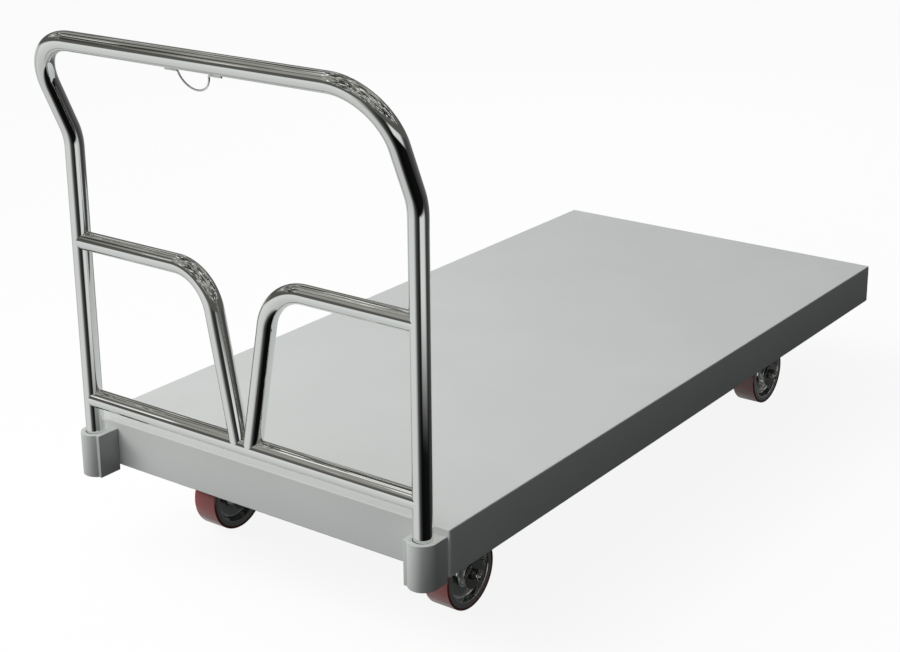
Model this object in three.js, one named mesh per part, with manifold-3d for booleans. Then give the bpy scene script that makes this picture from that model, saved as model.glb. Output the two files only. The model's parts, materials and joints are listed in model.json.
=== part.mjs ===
// A furniture dolly: a folded sheet-steel deck on four swivel casters, with a lift-off chromed push handle.
// Millimetres, +Z up. The origin is the centre of the deck's top surface, +X is to the right of a person
// at the handle and +Y runs along the deck away from them, so the handle end is the rear.
import * as THREE from "three";
import { mergeVertices } from "three/addons/utils/BufferGeometryUtils.js";
import Module from "manifold-3d";

const wasm = await Module();
wasm.setup();

// ---- Driving dimensions ----

// Clearance between neighbouring pieces, and how far a cutting solid runs past the surface it cuts.
const GAP = 0.3;
const PAST = 1;

// Deck: a pan folded from one sheet, its skirt turned inwards along the lower edge.
const DECK_WIDTH = 762;
const DECK_LENGTH = 1530;
const DECK_DEPTH = 79.4;
const SHEET = 2.7;
const SKIRT_LIP = 38;

// Channels under the deck: one across it over each pair of casters, and two along it.
const CHANNEL_WALL = 3.4;
const CASTER_CHANNEL_WIDTH = 130;
const CASTER_CHANNEL_LENGTH = 676;
const STIFFENER_WIDTH = 60;
const STIFFENER_DEPTH = 42;
const STIFFENER_OFFSET = 190;

// Handle: every tube is the same 1 1/4 inch stock.
const TUBE_RADIUS = 15.875;
const TUBE_WALL = 2;
const POST_OFFSET = 351.1; // each post from the deck's centre line
const POST_SETBACK = 26.25; // post axis behind the deck's rear face
const POST_BEND_HEIGHT = 505; // where the post's axis meets the leaning part's axis
const LEAN = THREE.MathUtils.degToRad(23.6);
const LEAN_RUN = 192.3; // from that point up to the top bar's axis
const HANDLE_BEND = 94;
const RAIL_HEIGHT = 48.8;
const BRACE_HEIGHT = 328.2;
const BRACE_CORNER_OFFSET = 67.2; // where the two straight parts of a brace would meet
const BRACE_FOOT_OFFSET = 13.8;
const BRACE_BEND = 79;

// Wire hook welded under the top bar.
const WIRE_RADIUS = 1.6;
const HOOK_CENTRE = 3.2;
const HOOK_RADIUS = 31.2;
const HOOK_DEPTH = 28.3;
const HOOK_FOOT = 25.5;
const HOOK_CORNER = 3;
const HOOK_LEAN = THREE.MathUtils.degToRad(16);

// Sockets that hold the posts.
const SOCKET_RADIUS = 25.4;
const SOCKET_TOP = -12.2;
const SOCKET_HEIGHT = 76.2;
const SOCKET_BLOCK_DEPTH = 43.3; // of the square block beside the rounded front
const SOCKET_BORE = 16.7;
const SOCKET_FLOOR = 8;
const DRAIN_RADIUS = 4;

// Casters.
const CASTER_OFFSET = 256.2; // swivel axis from the deck's centre line
const CASTER_END_DISTANCE = 230.4; // swivel axis from the deck's end
const CASTER_HEIGHT = 165.1;
const WHEEL_RADIUS = 63.5;
const WHEEL_WIDTH = 50;
const TREAD_THICKNESS = 3.8;
const TRAIL = 40.8;
const PLATE_WIDTH = 114.3;
const PLATE_LENGTH = 101.6;
const PLATE_THICKNESS = 6;
const BOLT_SPACING_X = 92.1;
const BOLT_SPACING_Y = 66.7;
const BOLT_RADIUS = 4.76;
const BOLT_FLATS = 14.3;
const BOLT_HEAD = 6;
const BOLT_SPARE = 10; // length of each bolt above the channel's floor, for its nut
const RACE_HEIGHT = 6;
const RACE_RADIUS = 36;
const FORK_SHEET = 4.2;
const FORK_INNER = 26.2; // half the distance between the legs
const FORK_HALF_CROWN = 33;
const CROWN_EDGE = 16; // depth of the crown's side before the leg narrows
const LEG_STRAIGHT = 18; // upright part of the leg's edges above the axle
const LEG_END_RADIUS = 27;
const LEG_END_LEAD = 4; // centre of the leg's rounded end ahead of the axle
const KINGPIN_RADIUS = 6.35;
const KINGPIN_FLATS = 22;
const KINGPIN_HEAD = 8;
const AXLE_RADIUS = 6.35;
const AXLE_FLATS = 19;
const AXLE_HEAD = 8;
const AXLE_NUT = 15;
const AXLE_SPARE = 1.5; // length of the axle bolt beyond its nut
const BEARING_RADIUS = 11;
const HUB_RADIUS = 22;
const HUB_HALF = 25.4;
const HUB_DRAFT = 1.5; // growth of the hub's radius towards the web
const RIM_INNER = 49.5;
const RIM_DRAFT = 4;
const RIM_HALF = 24;
const WEB_HALF = 12.5;
const TREAD_CHAMFER = 1.5;
const RUNNING = 0.3; // radial clearance of each turning fit

// Facets round a full circle, round half of a tube's or wire's section, and along a right-angle bend.
const FINE = 36;
const MEDIUM = 24;
const COARSE = 12;
const TUBE_HALF = 8;
const WIRE_HALF = 4;
const BEND_STEPS = 6;
const HOOK_LOOP_STEPS = 14;

// ---- Places worked out from them ----

const REAR_FACE = -DECK_LENGTH / 2;
const POST_Y = REAR_FACE - POST_SETBACK;
const TOP_BAR_Y = POST_Y - LEAN_RUN * Math.sin(LEAN);
const TOP_BAR_Z = POST_BEND_HEIGHT + LEAN_RUN * Math.cos(LEAN);
const SOCKET_BOTTOM = SOCKET_TOP - SOCKET_HEIGHT;
const POST_BOTTOM = SOCKET_BOTTOM + SOCKET_FLOOR + GAP;
const CHANNEL_BOTTOM = -DECK_DEPTH - CHANNEL_WALL;
const PLATE_TOP = CHANNEL_BOTTOM - GAP;
const CASTER_Y = DECK_LENGTH / 2 - CASTER_END_DISTANCE;
const AXLE_DROP = CASTER_HEIGHT - WHEEL_RADIUS; // below the top of the caster's plate
const CROWN_TOP = -PLATE_THICKNESS - RACE_HEIGHT;
const CROWN_BOTTOM = CROWN_TOP - FORK_SHEET;
const FORK_OUTER = FORK_INNER + FORK_SHEET;
const SIDES = { left: -1, right: 1 };
const ENDS = { rear: -1, front: 1 };

// ---- Materials ----

const finish = (color, roughness, metalness) => () =>
  new THREE.MeshStandardMaterial({ color, roughness, metalness });
const deckPaint = finish(0xc4c7c5, 0.45, 0.1);
const socketPaint = finish(0xa8aaa6, 0.45, 0.1);
const chrome = finish(0xd8dad8, 0.08, 1);
const zinc = finish(0x8f9290, 0.35, 0.9);
const coreMetal = finish(0x6f7473, 0.2, 0.9);
const redTread = finish(0x7a4444, 0.4, 0);
const bearingSteel = finish(0x9a9c9a, 0.25, 1);

// ---- Geometry helpers ----

function toSolid(geometry) {
  const bare = geometry.index ? geometry.toNonIndexed() : geometry.clone();
  bare.deleteAttribute("normal");
  bare.deleteAttribute("uv");
  const merged = mergeVertices(bare, 1e-4);
  return new wasm.Manifold(
    new wasm.Mesh({
      numProp: 3,
      vertProperties: merged.attributes.position.array,
      triVerts: new Uint32Array(merged.index.array),
    }),
  );
}

function toGeometry(solid) {
  const { numProp, vertProperties, triVerts } = solid.getMesh();
  const positions = [];
  for (const vertex of triVerts) {
    const start = vertex * numProp;
    positions.push(...vertProperties.subarray(start, start + 3));
  }
  const geometry = new THREE.BufferGeometry();
  geometry.setAttribute("position", new THREE.Float32BufferAttribute(positions, 3));
  geometry.computeVertexNormals();
  return geometry;
}

function join(...geometries) {
  return toGeometry(geometries.map(toSolid).reduce((whole, next) => whole.add(next)));
}

function cut(geometry, ...tools) {
  return toGeometry(tools.map(toSolid).reduce((whole, tool) => whole.subtract(tool), toSolid(geometry)));
}

function common(first, second) {
  return toGeometry(toSolid(first).intersect(toSolid(second)));
}

function piece(name, geometry, makeMaterial) {
  const mesh = new THREE.Mesh(geometry, makeMaterial());
  mesh.name = name;
  return mesh;
}

// A box between two opposite corners.
function boxBetween(low, high) {
  const size = high.map((value, i) => value - low[i]);
  const box = new THREE.BoxGeometry(...size);
  return box.translate(low[0] + size[0] / 2, low[1] + size[1] / 2, low[2] + size[2] / 2);
}

// A cylinder or prism with its axis along Z, between two heights.
function uprightCylinder(radius, low, high, sides) {
  const cylinder = new THREE.CylinderGeometry(radius, radius, high - low, sides);
  return cylinder.rotateX(Math.PI / 2).translate(0, 0, (low + high) / 2);
}

// The same along X.
function crossCylinder(radius, low, high, sides) {
  return uprightCylinder(radius, low, high, sides).rotateY(Math.PI / 2);
}

const hexRadius = (acrossFlats) => acrossFlats / Math.sqrt(3);

// A ring of revolution about X, the same on both sides of the origin. The outline is of its positive half,
// as [radius, distance along X] points from the bore outwards.
function turnedAboutX(half, segments) {
  const mirrored = half.map(([radius, along]) => [radius, -along]);
  const outline = [...mirrored, ...[...half].reverse(), mirrored[0]];
  const points = outline.map(([radius, along]) => new THREE.Vector2(radius, along));
  return new THREE.LatheGeometry(points, segments).rotateZ(-Math.PI / 2);
}

// The path of a bent tube: straight runs between the given corners, each rounded to its own bend radius.
// A corner with no radius is a plain vertex.
class BentPath extends THREE.Curve {
  constructor(corners) {
    super();
    this.stations = [];
    corners.forEach(({ at, bend = 0 }, i) => {
      const before = i > 0 ? at.clone().sub(corners[i - 1].at).normalize() : null;
      const after = i < corners.length - 1 ? corners[i + 1].at.clone().sub(at).normalize() : null;
      if (before && after && bend > 0) {
        this.addBend(at, before, after, bend);
      } else {
        const tangent = new THREE.Vector3().add(before ?? after).add(after ?? before).normalize();
        this.stations.push({ point: at.clone(), tangent });
      }
    });
  }

  addBend(corner, before, after, radius) {
    const angle = before.angleTo(after);
    const start = corner.clone().addScaledVector(before, -radius * Math.tan(angle / 2));
    const inward = after.clone().addScaledVector(before, -before.dot(after)).normalize();
    const steps = Math.max(2, Math.round((BEND_STEPS * angle) / (Math.PI / 2)));
    for (let step = 0; step <= steps; step += 1) {
      const turned = (angle * step) / steps;
      const point = start.clone().addScaledVector(before, radius * Math.sin(turned));
      point.addScaledVector(inward, radius * (1 - Math.cos(turned)));
      const tangent = before.clone().multiplyScalar(Math.cos(turned));
      tangent.addScaledVector(inward, Math.sin(turned));
      this.stations.push({ point, tangent });
    }
  }

  stationAt(u) {
    return this.stations[Math.round(u * (this.stations.length - 1))];
  }

  getPointAt(u) {
    return this.stationAt(u).point.clone();
  }

  getTangentAt(u) {
    return this.stationAt(u).tangent.clone();
  }
}

// A round bar along a path, or a tube when it has a wall.
function roundAlong(path, radius, wall, halfFacets) {
  const section = new THREE.Shape();
  section.absarc(0, 0, radius, 0, 2 * Math.PI);
  if (wall) {
    const bore = new THREE.Path();
    bore.absarc(0, 0, radius - wall, 0, 2 * Math.PI, true);
    section.holes.push(bore);
  }
  return new THREE.ExtrudeGeometry(section, {
    steps: path.stations.length - 1,
    curveSegments: halfFacets,
    extrudePath: path,
  });
}

const handleTube = (corners) =>
  roundAlong(new BentPath(corners), TUBE_RADIUS, TUBE_WALL, TUBE_HALF);

// ---- Deck ----

function deckPan() {
  const halfWidth = DECK_WIDTH / 2;
  const halfLength = DECK_LENGTH / 2;
  const block = boxBetween([-halfWidth, -halfLength, -DECK_DEPTH], [halfWidth, halfLength, 0]);
  const inside = boxBetween(
    [SHEET - halfWidth, SHEET - halfLength, SHEET - DECK_DEPTH],
    [halfWidth - SHEET, halfLength - SHEET, -SHEET],
  );
  const mouth = boxBetween(
    [SKIRT_LIP - halfWidth, SKIRT_LIP - halfLength, -DECK_DEPTH - PAST],
    [halfWidth - SKIRT_LIP, halfLength - SKIRT_LIP, -DECK_DEPTH / 2],
  );
  return piece("deck_pan", cut(block, inside, mouth), deckPaint);
}

// A channel open at the top, centred on the origin in plan, running along X.
function openChannel(length, width, bottom, wall) {
  const top = -SHEET - GAP;
  const outside = boxBetween([-length / 2, -width / 2, bottom], [length / 2, width / 2, top]);
  const inside = boxBetween(
    [-length / 2 - PAST, wall - width / 2, bottom + wall],
    [length / 2 + PAST, width / 2 - wall, top + PAST],
  );
  return cut(outside, inside);
}

function casterChannel(end) {
  const low = CHANNEL_BOTTOM - PAST;
  const high = CHANNEL_BOTTOM + CHANNEL_WALL + PAST;
  const holes = Object.values(SIDES).flatMap((side) =>
    boltPlaces().map(([x, y]) =>
      uprightCylinder(BOLT_RADIUS + RUNNING, low, high, COARSE).translate(side * CASTER_OFFSET + x, y, 0),
    ),
  );
  const channel = openChannel(CASTER_CHANNEL_LENGTH, CASTER_CHANNEL_WIDTH, CHANNEL_BOTTOM, CHANNEL_WALL);
  const mesh = piece(`${end}_caster_channel`, cut(channel, ...holes), deckPaint);
  mesh.position.y = ENDS[end] * CASTER_Y;
  return mesh;
}

function deckStiffener(side) {
  const length = 2 * (CASTER_Y - CASTER_CHANNEL_WIDTH / 2 - GAP);
  const channel = openChannel(length, STIFFENER_WIDTH, -SHEET - STIFFENER_DEPTH, SHEET);
  const mesh = piece(`${side}_deck_stiffener`, channel.rotateZ(Math.PI / 2), deckPaint);
  mesh.position.x = SIDES[side] * STIFFENER_OFFSET;
  return mesh;
}

// ---- Handle sockets ----

// Seen from above with the post at the origin and the deck towards +Y: the rounded front is concentric with
// the post, and a square block stands beside it on the side of the deck's centre line.
function socketOutline(side) {
  const backY = POST_SETBACK - GAP;
  const blockY = POST_SETBACK - SOCKET_BLOCK_DEPTH;
  const endAngle = Math.asin(blockY / SOCKET_RADIUS);
  const front = new THREE.Path();
  front.absarc(0, 0, SOCKET_RADIUS, 0, -Math.PI - endAngle, true);
  const corners = [
    new THREE.Vector2(SOCKET_RADIUS, backY),
    ...front.getPoints(COARSE),
    new THREE.Vector2(-SOCKET_RADIUS, blockY),
    new THREE.Vector2(-SOCKET_RADIUS, backY),
  ];
  return new THREE.Shape(corners.map(({ x, y }) => new THREE.Vector2(x * SIDES[side], y)));
}

function handleSocket(side) {
  const body = new THREE.ExtrudeGeometry(socketOutline(side), { depth: SOCKET_HEIGHT, bevelEnabled: false });
  const bore = uprightCylinder(SOCKET_BORE, SOCKET_FLOOR, SOCKET_HEIGHT + PAST, MEDIUM);
  const drain = uprightCylinder(DRAIN_RADIUS, -PAST, SOCKET_FLOOR + PAST, COARSE);
  const mesh = piece(`${side}_handle_socket`, cut(body, bore, drain), socketPaint);
  mesh.position.set(SIDES[side] * POST_OFFSET, POST_Y, SOCKET_BOTTOM);
  return mesh;
}

// ---- Push handle ----

function mainTube() {
  const leftHalf = [
    { at: new THREE.Vector3(-POST_OFFSET, POST_Y, POST_BOTTOM) },
    { at: new THREE.Vector3(-POST_OFFSET, POST_Y, POST_BEND_HEIGHT), bend: HANDLE_BEND },
    { at: new THREE.Vector3(-POST_OFFSET, TOP_BAR_Y, TOP_BAR_Z), bend: HANDLE_BEND },
  ];
  const rightHalf = leftHalf
    .map(({ at, bend }) => ({ at: at.clone().multiply(new THREE.Vector3(-1, 1, 1)), bend }))
    .reverse();
  return piece("handle_main_tube", handleTube([...leftHalf, ...rightHalf]), chrome);
}

// The space that a post, or the lower rail, takes from the end of a tube welded to it.
const postSpace = (side) =>
  uprightCylinder(TUBE_RADIUS + GAP, POST_BOTTOM, POST_BEND_HEIGHT, FINE)
    .translate(SIDES[side] * POST_OFFSET, POST_Y, 0);
const railSpace = () =>
  crossCylinder(TUBE_RADIUS + GAP, -POST_OFFSET, POST_OFFSET, FINE).translate(0, POST_Y, RAIL_HEIGHT);

function lowerRail() {
  const ends = [-POST_OFFSET, POST_OFFSET];
  const rail = handleTube(ends.map((x) => ({ at: new THREE.Vector3(x, POST_Y, RAIL_HEIGHT) })));
  return piece("handle_lower_rail", cut(rail, postSpace("left"), postSpace("right")), chrome);
}

// One brace: level from the post, then bent down to the middle of the lower rail, where the two braces meet.
function brace(side) {
  const across = (distance, z) => new THREE.Vector3(SIDES[side] * distance, POST_Y, z);
  const tube = handleTube([
    { at: across(POST_OFFSET, BRACE_HEIGHT) },
    { at: across(BRACE_CORNER_OFFSET, BRACE_HEIGHT), bend: BRACE_BEND },
    { at: across(BRACE_FOOT_OFFSET, RAIL_HEIGHT) },
  ]);
  const [low, high] = side === "left" ? [-GAP / 2, POST_OFFSET] : [-POST_OFFSET, GAP / 2];
  const reach = 2 * TUBE_RADIUS;
  const otherSide = boxBetween([low, POST_Y - reach, 0], [high, POST_Y + reach, BRACE_HEIGHT]);
  return piece(`${side}_handle_brace`, cut(tube, postSpace(side), railSpace(), otherSide), chrome);
}

// A wire bent to a loop between two feet, which lie under the top bar. The loop leans in towards the deck.
function wireHook() {
  const inPlane = (x, down) =>
    new THREE.Vector3(HOOK_CENTRE + x, down * Math.sin(HOOK_LEAN), -down * Math.cos(HOOK_LEAN));
  const rise = HOOK_RADIUS - HOOK_DEPTH; // of the loop's centre above the feet
  const halfAngle = Math.acos(rise / HOOK_RADIUS);
  const loop = [];
  for (let step = 1; step < HOOK_LOOP_STEPS; step += 1) {
    const angle = halfAngle * ((2 * step) / HOOK_LOOP_STEPS - 1);
    loop.push({ at: inPlane(HOOK_RADIUS * Math.sin(angle), HOOK_RADIUS * Math.cos(angle) - rise) });
  }
  const halfChord = HOOK_RADIUS * Math.sin(halfAngle);
  const corners = [
    { at: inPlane(-halfChord - HOOK_FOOT, 0) },
    { at: inPlane(-halfChord, 0), bend: HOOK_CORNER },
    ...loop,
    { at: inPlane(halfChord, 0), bend: HOOK_CORNER },
    { at: inPlane(halfChord + HOOK_FOOT, 0) },
  ];
  const wire = roundAlong(new BentPath(corners), WIRE_RADIUS, 0, WIRE_HALF);
  const mesh = piece("handle_wire_hook", wire, chrome);
  mesh.position.set(0, TOP_BAR_Y, TOP_BAR_Z - TUBE_RADIUS - GAP - WIRE_RADIUS);
  return mesh;
}

// ---- Casters, each about its own swivel axis with the top of its plate at height zero ----

function boltPlaces() {
  return [-1, 1].flatMap((x) => [-1, 1].map((y) => [(x * BOLT_SPACING_X) / 2, (y * BOLT_SPACING_Y) / 2]));
}

function topPlate(prefix) {
  const plate = boxBetween(
    [-PLATE_WIDTH / 2, -PLATE_LENGTH / 2, -PLATE_THICKNESS],
    [PLATE_WIDTH / 2, PLATE_LENGTH / 2, 0],
  );
  const race = uprightCylinder(RACE_RADIUS, CROWN_TOP + GAP, -PLATE_THICKNESS / 2, MEDIUM);
  const holes = boltPlaces().map(([x, y]) =>
    uprightCylinder(BOLT_RADIUS + RUNNING, -PLATE_THICKNESS - PAST, PAST, COARSE).translate(x, y, 0),
  );
  const centre = uprightCylinder(KINGPIN_RADIUS + RUNNING, CROWN_TOP - PAST, PAST, COARSE);
  return piece(`${prefix}_top_plate`, cut(join(plate, race), centre, ...holes), zinc);
}

// A hexagon-headed bolt standing on its head, with the head's bearing face at height zero.
function bolt(shankRadius, flats, head, length) {
  return join(
    uprightCylinder(hexRadius(flats), -head, 0, 6),
    uprightCylinder(shankRadius, -head / 2, length, COARSE),
  );
}

function plateBolts(prefix) {
  const length = PLATE_THICKNESS + CHANNEL_WALL + BOLT_SPARE;
  return boltPlaces().map(([x, y], i) => {
    const geometry = bolt(BOLT_RADIUS, BOLT_FLATS, BOLT_HEAD, length);
    const mesh = piece(`${prefix}_plate_bolt_${i + 1}`, geometry, zinc);
    mesh.position.set(x, y, -PLATE_THICKNESS - GAP);
    return mesh;
  });
}

function kingpin(prefix) {
  const bearingFace = CROWN_BOTTOM - GAP;
  const geometry = bolt(KINGPIN_RADIUS, KINGPIN_FLATS, KINGPIN_HEAD, -bearingFace);
  const mesh = piece(`${prefix}_kingpin`, geometry, zinc);
  mesh.position.z = bearingFace;
  return mesh;
}

// The fork's side view, Y to the right and Z up: a crown under the plate and legs that lead back to the axle.
function forkSide() {
  const endY = LEG_END_LEAD - TRAIL;
  const outline = new THREE.Shape();
  outline.moveTo(FORK_HALF_CROWN, CROWN_TOP);
  outline.lineTo(FORK_HALF_CROWN, CROWN_TOP - CROWN_EDGE);
  outline.lineTo(endY + LEG_END_RADIUS, LEG_STRAIGHT - AXLE_DROP);
  outline.absarc(endY, -AXLE_DROP, LEG_END_RADIUS, 0, -Math.PI, true);
  outline.lineTo(endY - LEG_END_RADIUS, LEG_STRAIGHT - AXLE_DROP);
  outline.lineTo(-FORK_HALF_CROWN, CROWN_TOP - CROWN_EDGE);
  outline.lineTo(-FORK_HALF_CROWN, CROWN_TOP);
  return outline;
}

function fork(prefix) {
  const bottom = -AXLE_DROP - LEG_END_RADIUS - PAST;
  const reach = TRAIL + LEG_END_RADIUS + PAST;
  const block = boxBetween([-FORK_OUTER, -reach, bottom], [FORK_OUTER, reach, CROWN_TOP]);
  const between = boxBetween(
    [-FORK_INNER, -reach - PAST, bottom - PAST],
    [FORK_INNER, reach + PAST, CROWN_BOTTOM],
  );
  const width = 2 * (FORK_OUTER + PAST);
  const extent = { depth: width, bevelEnabled: false, curveSegments: COARSE / 2 };
  const side = new THREE.ExtrudeGeometry(forkSide(), extent)
    .rotateX(Math.PI / 2)
    .rotateZ(Math.PI / 2)
    .translate(-width / 2, 0, 0);
  const race = uprightCylinder(RACE_RADIUS, CROWN_BOTTOM, CROWN_TOP, MEDIUM);
  const pinHoleRadius = KINGPIN_RADIUS + RUNNING;
  const kingpinHole = uprightCylinder(pinHoleRadius, CROWN_BOTTOM - PAST, CROWN_TOP + PAST, COARSE);
  const axleHole = crossCylinder(AXLE_RADIUS + RUNNING, -width, width, COARSE);
  axleHole.translate(0, -TRAIL, -AXLE_DROP);
  const bent = common(cut(block, between), side);
  return piece(`${prefix}_fork`, cut(join(bent, race), kingpinHole, axleHole), zinc);
}

// The axle bolt goes in from the left, and its nut is on the right.
function axleBolt(prefix) {
  const length = 2 * FORK_OUTER + AXLE_NUT + AXLE_SPARE + 2 * GAP;
  const mesh = piece(`${prefix}_axle_bolt`, bolt(AXLE_RADIUS, AXLE_FLATS, AXLE_HEAD, length), zinc);
  mesh.rotation.y = Math.PI / 2;
  mesh.position.x = -FORK_OUTER - GAP;
  return mesh;
}

function axleNut(prefix) {
  const low = FORK_OUTER + GAP;
  const high = low + AXLE_NUT;
  const nut = cut(
    crossCylinder(hexRadius(AXLE_FLATS), low, high, 6),
    crossCylinder(AXLE_RADIUS + RUNNING, low - PAST, high + PAST, COARSE),
  );
  return piece(`${prefix}_axle_nut`, nut, zinc);
}

function wheelCore(prefix) {
  const half = [
    [BEARING_RADIUS + GAP, HUB_HALF],
    [HUB_RADIUS, HUB_HALF],
    [HUB_RADIUS + HUB_DRAFT, WEB_HALF],
    [RIM_INNER - RIM_DRAFT, WEB_HALF],
    [RIM_INNER, RIM_HALF],
    [WHEEL_RADIUS - TREAD_THICKNESS - GAP, RIM_HALF],
  ];
  return piece(`${prefix}_wheel_core`, turnedAboutX(half, MEDIUM), coreMetal);
}

function tread(prefix) {
  const half = [
    [WHEEL_RADIUS - TREAD_THICKNESS, WHEEL_WIDTH / 2],
    [WHEEL_RADIUS - TREAD_CHAMFER, WHEEL_WIDTH / 2],
    [WHEEL_RADIUS, WHEEL_WIDTH / 2 - TREAD_CHAMFER],
  ];
  return piece(`${prefix}_tread`, turnedAboutX(half, FINE), redTread);
}

function hubBearing(prefix) {
  const half = [
    [AXLE_RADIUS + RUNNING, FORK_INNER - GAP],
    [BEARING_RADIUS, FORK_INNER - GAP],
  ];
  return piece(`${prefix}_hub_bearing`, turnedAboutX(half, COARSE), bearingSteel);
}

function caster(end, side) {
  const prefix = `${end}_${side}`;
  const group = new THREE.Group();
  group.position.set(SIDES[side] * CASTER_OFFSET, ENDS[end] * CASTER_Y, PLATE_TOP);
  const axle = new THREE.Group();
  axle.position.set(0, -TRAIL, -AXLE_DROP);
  axle.add(axleBolt(prefix), axleNut(prefix));
  axle.add(wheelCore(prefix), tread(prefix), hubBearing(prefix));
  group.add(topPlate(prefix), ...plateBolts(prefix), kingpin(prefix), fork(prefix), axle);
  return group;
}

// ---- Assembly ----

const dolly = new THREE.Group();
dolly.add(deckPan());
for (const end of Object.keys(ENDS)) {
  dolly.add(casterChannel(end));
  for (const side of Object.keys(SIDES)) {
    dolly.add(caster(end, side));
  }
}
for (const side of Object.keys(SIDES)) {
  dolly.add(deckStiffener(side), handleSocket(side), brace(side));
}
dolly.add(mainTube(), lowerRail(), wireHook());

export default dolly;
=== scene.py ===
"""The looks of a furniture dolly: a folded steel deck on four swivel casters, with a chromed tube handle.

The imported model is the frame. Its origin is the centre of the deck's top, +X is to the right of a person at
the handle, +Y is away from them and +Z is up. Lengths here are in millimetres, and solid() turns them into
metres.
"""

import json
import math

import bmesh
import bpy
from mathutils import Matrix, Vector

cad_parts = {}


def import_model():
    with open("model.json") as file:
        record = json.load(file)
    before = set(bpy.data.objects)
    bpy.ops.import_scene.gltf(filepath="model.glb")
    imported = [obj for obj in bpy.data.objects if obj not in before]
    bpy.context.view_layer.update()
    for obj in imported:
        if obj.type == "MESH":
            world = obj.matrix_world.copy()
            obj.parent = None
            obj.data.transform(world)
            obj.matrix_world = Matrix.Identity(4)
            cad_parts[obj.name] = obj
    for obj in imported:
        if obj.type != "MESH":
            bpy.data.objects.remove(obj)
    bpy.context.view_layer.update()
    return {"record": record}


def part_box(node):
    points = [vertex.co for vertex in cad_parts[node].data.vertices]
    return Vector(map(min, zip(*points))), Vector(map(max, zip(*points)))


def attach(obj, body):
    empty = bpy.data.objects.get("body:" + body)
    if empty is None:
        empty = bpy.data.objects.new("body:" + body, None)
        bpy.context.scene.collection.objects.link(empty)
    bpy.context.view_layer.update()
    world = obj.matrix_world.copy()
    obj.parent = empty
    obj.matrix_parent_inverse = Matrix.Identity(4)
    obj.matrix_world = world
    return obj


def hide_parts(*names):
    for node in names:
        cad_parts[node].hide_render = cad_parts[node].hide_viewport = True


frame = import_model()

METRES = 0.001
DEGREES = math.pi / 180


# ---- Sizes read from the frame ----


def box(node):
    """Lowest and highest corner of a CAD node, in millimetres."""
    low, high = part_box(node)
    return low / METRES, high / METRES


def middle(node):
    low, high = box(node)
    return (low + high) / 2


DECK_LOW, DECK_HIGH = box("deck_pan")
CHANNEL_LOW, CHANNEL_HIGH = box("front_caster_channel")
STIFFENER_LOW, STIFFENER_HIGH = box("right_deck_stiffener")
SOCKET_LOW, SOCKET_HIGH = box("right_handle_socket")
MAIN_LOW, MAIN_HIGH = box("handle_main_tube")
RAIL_LOW, RAIL_HIGH = box("handle_lower_rail")
BRACE_HIGH = box("right_handle_brace")[1]
HOOK_LOW, HOOK_HIGH = box("handle_wire_hook")
PLATE_LOW, PLATE_HIGH = box("front_right_top_plate")
NUT_LOW = box("front_right_axle_nut")[0]
CORE_LOW, CORE_HIGH = box("front_right_wheel_core")
TREAD_LOW, TREAD_HIGH = box("front_right_tread")
BEARING_LOW, BEARING_HIGH = box("front_right_hub_bearing")
FLOOR_Z = TREAD_LOW.z

TUBE_RADIUS = (RAIL_HIGH.z - RAIL_LOW.z) / 2
TUBE_BORE = TUBE_RADIUS - 2
POST_X = MAIN_HIGH.x - TUBE_RADIUS
POST_Y = (RAIL_LOW.y + RAIL_HIGH.y) / 2
RAIL_Z = (RAIL_LOW.z + RAIL_HIGH.z) / 2
BRACE_Z = BRACE_HIGH.z - TUBE_RADIUS
TOP_BAR_Y = MAIN_LOW.y + TUBE_RADIUS
TOP_BAR_Z = MAIN_HIGH.z - TUBE_RADIUS

# Sizes inside the CAD solids, which their boxes don't give. First the handle.
LEAN = 23.6 * DEGREES
HANDLE_BEND = 94
BRACE_CORNER_X = 67.2
BRACE_FOOT_X = 13.8
BRACE_BEND = 79
SADDLE_BITE = 0.6
WIRE_RADIUS = 1.6
HOOK_RADIUS = 31.2
HOOK_DEPTH = 28.3
HOOK_LEAN = 16 * DEGREES
HOOK_CORNER = 3

# The deck and the handle's sockets.
SHEET = 2.7
SKIRT_LIP = 38
SKIRT_BEND = 2.2
DECK_CORNER = 3
CHANNEL_WALL = 3.4
CUT_EDGE = 0.4
SOCKET_BLOCK_DEPTH = 43.3
SOCKET_BORE = 16.7
SOCKET_FLOOR = 8
DRAIN_RADIUS = 4

# Fasteners. FLATS is the distance across a hexagon's flats, and SPARE is how far a bolt passes its channel.
BOLT_SPACING = (92.1, 66.7)
BOLT_RADIUS = 4.76
BOLT_FLATS = 14.3
BOLT_HEAD = 6
BOLT_SPARE = 10
BOLT_NUT = 7
BOLT_WASHER = 1.4
AXLE_RADIUS = 6.35
AXLE_FLATS = 19
AXLE_HEAD = 8
AXLE_NUT = 15
KINGPIN_RADIUS = 6.35
KINGPIN_FLATS = 22
KINGPIN_HEAD = 8

# The rest of a caster.
PLATE_THICKNESS = 6
PLATE_CORNER = 9
RACE_HEIGHT = 6
RACE_RADIUS = 36
FORK_SHEET = 4.2
FORK_HALF_CROWN = 33
FORK_OUTER_BEND = 6.5
FORK_INNER_BEND = 2.5
CROWN_EDGE = 16
LEG_STRAIGHT = 18
LEG_END_RADIUS = 27
LEG_END_LEAD = 4
HUB_RADIUS = 22
RIM_INNER = 49.5
RIM_HALF = 24
WEB_HALF = 12.5

# What is left open between two pieces that touch.
GAP = 0.3

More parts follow.
